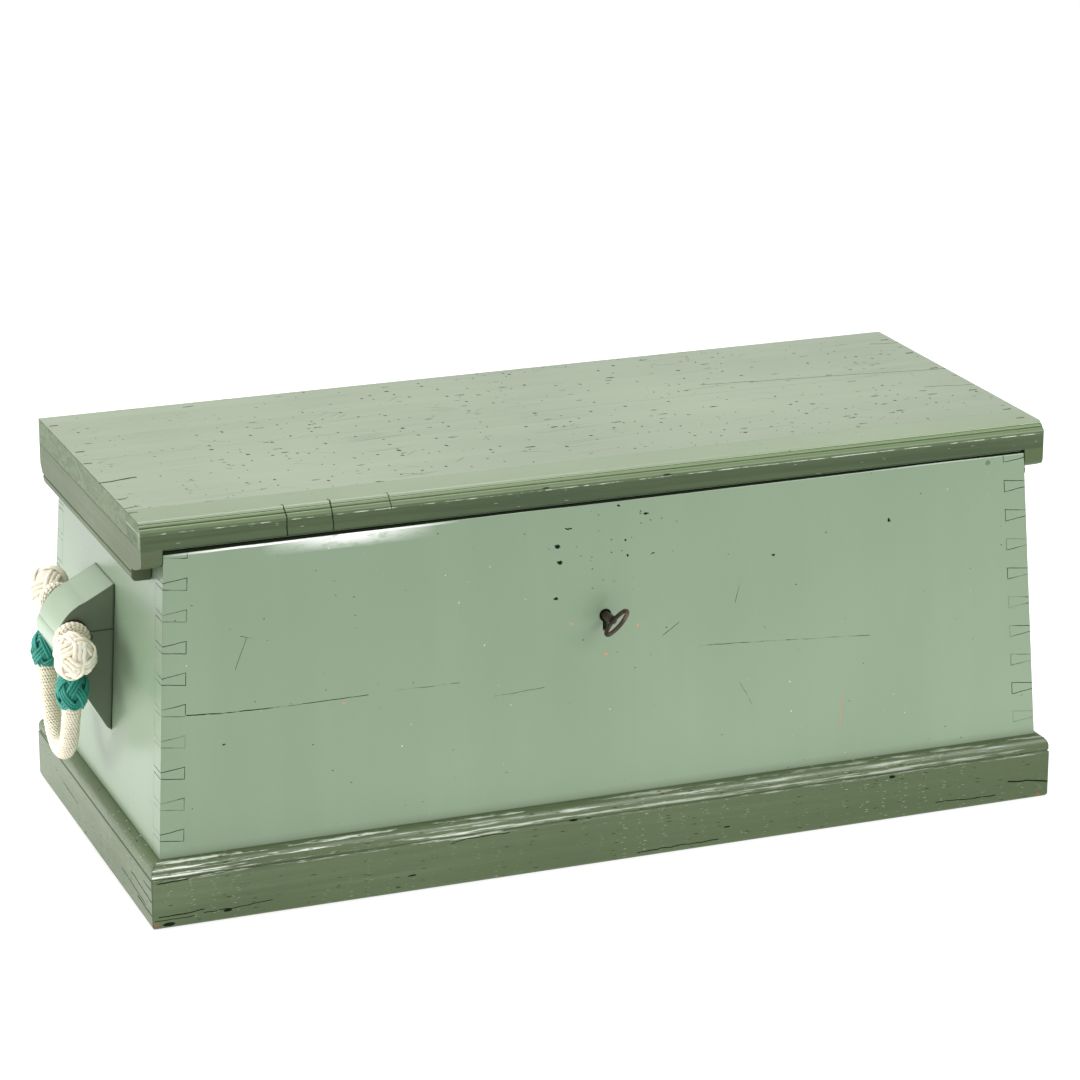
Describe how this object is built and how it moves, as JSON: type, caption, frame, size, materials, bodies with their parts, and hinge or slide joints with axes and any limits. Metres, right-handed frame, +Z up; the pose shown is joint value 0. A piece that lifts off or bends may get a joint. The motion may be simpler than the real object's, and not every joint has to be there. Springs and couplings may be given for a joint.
{
  "type": "sea chest",
  "caption": "Painted wooden sea chest with sloping sides, a moulded hinged lid, dovetailed corners, rope carrying handles, a keyed box lock and an open till inside.",
  "frame": {"origin": "centre of the base, on the plane that the skirt stands on", "axes": "+Z up, -Y the front with the keyhole, +X along the chest to the right as seen from the front"},
  "size_m": [1.0812, 0.4666, 0.4081],
  "materials": {
    "bare_pine": "bare aged pine",
    "becket_cleat_paint": "olive green paint",
    "body_paint": "worn sage green gloss paint",
    "fastener_iron": "dark iron",
    "green_cord": "painted green cord",
    "hinge_iron": "black wrought iron",
    "key_iron": "dark brown iron",
    "lid_cleat_paint": "sage green paint",
    "lid_paint": "worn sage green gloss paint",
    "lock_iron": "dark iron",
    "moulding_paint": "dark moss green gloss paint",
    "rope": "white three-strand cord",
    "skirt_paint": "dark moss green gloss paint",
    "white_cord": "painted white cord"
  },
  "bodies": {
    "chest": {"back_board": "body_paint", "becket_cleat_lower_left": "becket_cleat_paint", "becket_cleat_lower_right": "becket_cleat_paint", "becket_cleat_screws": "fastener_iron", "becket_cleat_upper_left": "becket_cleat_paint", "becket_cleat_upper_right": "becket_cleat_paint", "bottom_boards": "bare_pine", "bottom_nails": "fastener_iron", "end_board_left": "body_paint", "end_board_right": "body_paint", "front_board": "body_paint", "hinge_leaf_left": "hinge_iron", "hinge_leaf_right": "hinge_iron", "hinge_leaf_screws": "fastener_iron", "hinge_pins": "hinge_iron", "lock_case": "lock_iron", "lock_plate": "lock_iron", "lock_screws": "fastener_iron", "skirt_back": "skirt_paint", "skirt_front": "skirt_paint", "skirt_left": "skirt_paint", "skirt_nails": "fastener_iron", "skirt_right": "skirt_paint", "till_bottom": "bare_pine", "till_front": "bare_pine"},
    "becket_left": {"becket_eyes_left": "rope", "becket_heads_left": "green_cord", "becket_knobs_left": "white_cord", "becket_loop_left": "rope", "becket_rope_left": "rope"},
    "becket_right": {"becket_eyes_right": "rope", "becket_heads_right": "green_cord", "becket_knobs_right": "white_cord", "becket_loop_right": "rope", "becket_rope_right": "rope"},
    "lid": {"hinge_strap_left": "hinge_iron", "hinge_strap_right": "hinge_iron", "lid_board_back": "lid_paint", "lid_board_front": "lid_paint", "lid_end_cleat_left": "lid_cleat_paint", "lid_end_cleat_right": "lid_cleat_paint", "lid_front_moulding": "moulding_paint", "lid_nails": "fastener_iron", "lid_screws": "fastener_iron", "lock_staple": "lock_iron"},
    "key": {"key": "key_iron"},
    "lock_bolt": {"lock_bolt": "lock_iron"}
  },
  "joints": [
    {"name": "lid_hinge", "type": "hinge", "parent": "chest", "child": "lid", "pos_m": [0, 0.2015, 0.381], "axis": [-1, 0, 0], "range_deg": [0, 100]},
    {"name": "key_turn", "type": "hinge", "parent": "chest", "child": "key", "pos_m": [-0.0077, -0.20203, 0.2598], "axis": [0, -0.9988, 0.0496], "range_deg": [-227, 47]},
    {"name": "bolt_slide", "type": "slide", "parent": "chest", "child": "lock_bolt", "axis": [1, 0, 0], "range_m": [-0.003, 0.015]},
    {"name": "becket_left_swing", "type": "hinge", "parent": "chest", "child": "becket_left", "pos_m": [-0.5115, 0.009, 0.2465], "axis": [0, 1, 0], "range_deg": [-6, 175]},
    {"name": "becket_right_swing", "type": "hinge", "parent": "chest", "child": "becket_right", "pos_m": [0.5115, 0.009, 0.2465], "axis": [0, -1, 0], "range_deg": [-6, 175]}
  ],
  "couplings": [
    {"joint": "key_turn", "follows": "bolt_slide", "rad_per_m": -261.8}
  ]
}
